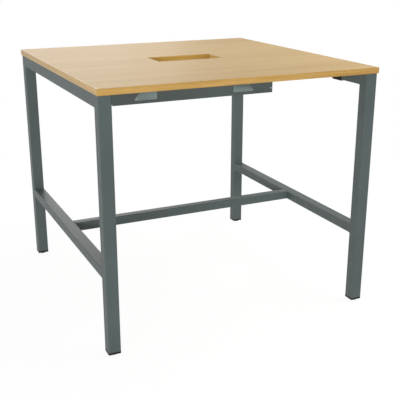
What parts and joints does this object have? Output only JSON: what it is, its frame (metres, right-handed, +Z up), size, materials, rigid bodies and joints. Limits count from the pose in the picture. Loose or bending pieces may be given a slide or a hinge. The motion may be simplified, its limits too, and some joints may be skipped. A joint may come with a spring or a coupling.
{
  "type": "standing meeting table",
  "caption": "Standing-height square meeting table: lipped wood-effect board on welded square-tube end frames, low stretcher, cable cut-out, folded cable tray and levelling feet.",
  "frame": {"origin": "on the floor, below the middle of the worktop, with the levelling feet screwed in", "axes": "+X along the front edge to the right, +Y from front to back, +Z up"},
  "size_m": [1.2, 1.2, 1.047],
  "materials": {
    "beech_foil": "satin melamine foil with fine beech grain along X",
    "edge_lipping": "satin ABS edging printed as beech",
    "frame_paint": "fine-texture satin powder coat, dark grey",
    "tray_paint": "fine-texture satin powder coat, dark grey",
    "black_nylon": "moulded black nylon, fine spark texture",
    "zinc_steel": "bright zinc plate"
  },
  "bodies": {
    "table": {"worktop_panel": "beech_foil", "edge_band_front": "edge_lipping", "edge_band_back": "edge_lipping", "edge_band_left": "edge_lipping", "edge_band_right": "edge_lipping", "cutout_band_front": "edge_lipping", "cutout_band_back": "edge_lipping", "cutout_band_left": "edge_lipping", "cutout_band_right": "edge_lipping", "leg_front_left": "frame_paint", "leg_front_right": "frame_paint", "leg_back_left": "frame_paint", "leg_back_right": "frame_paint", "top_rail_left": "frame_paint", "top_rail_right": "frame_paint", "low_rail_left": "frame_paint", "low_rail_right": "frame_paint", "stretcher": "frame_paint", "spigot_left": "frame_paint", "spigot_right": "frame_paint", "stretcher_screw_left_outer": "zinc_steel", "stretcher_screw_left_inner": "zinc_steel", "stretcher_screw_right_outer": "zinc_steel", "stretcher_screw_right_inner": "zinc_steel", "cable_tray": "tray_paint", "top_clip_front_left": "black_nylon", "top_clip_front_right": "black_nylon", "top_clip_back_left": "black_nylon", "top_clip_back_right": "black_nylon", "leg_cap_front_left": "black_nylon", "leg_cap_front_right": "black_nylon", "leg_cap_back_left": "black_nylon", "leg_cap_back_right": "black_nylon"},
    "foot_front_left": {"levelling_foot_front_left": "black_nylon"},
    "foot_front_right": {"levelling_foot_front_right": "black_nylon"},
    "foot_back_left": {"levelling_foot_back_left": "black_nylon"},
    "foot_back_right": {"levelling_foot_back_right": "black_nylon"}
  },
  "joints": [
    {"name": "level_front_left", "type": "slide", "parent": "table", "child": "foot_front_left", "axis": [0, 0, -1], "range_m": [0, 0.015]},
    {"name": "level_front_right", "type": "slide", "parent": "table", "child": "foot_front_right", "axis": [0, 0, -1], "range_m": [0, 0.015]},
    {"name": "level_back_left", "type": "slide", "parent": "table", "child": "foot_back_left", "axis": [0, 0, -1], "range_m": [0, 0.015]},
    {"name": "level_back_right", "type": "slide", "parent": "table", "child": "foot_back_right", "axis": [0, 0, -1], "range_m": [0, 0.015]}
  ]
}
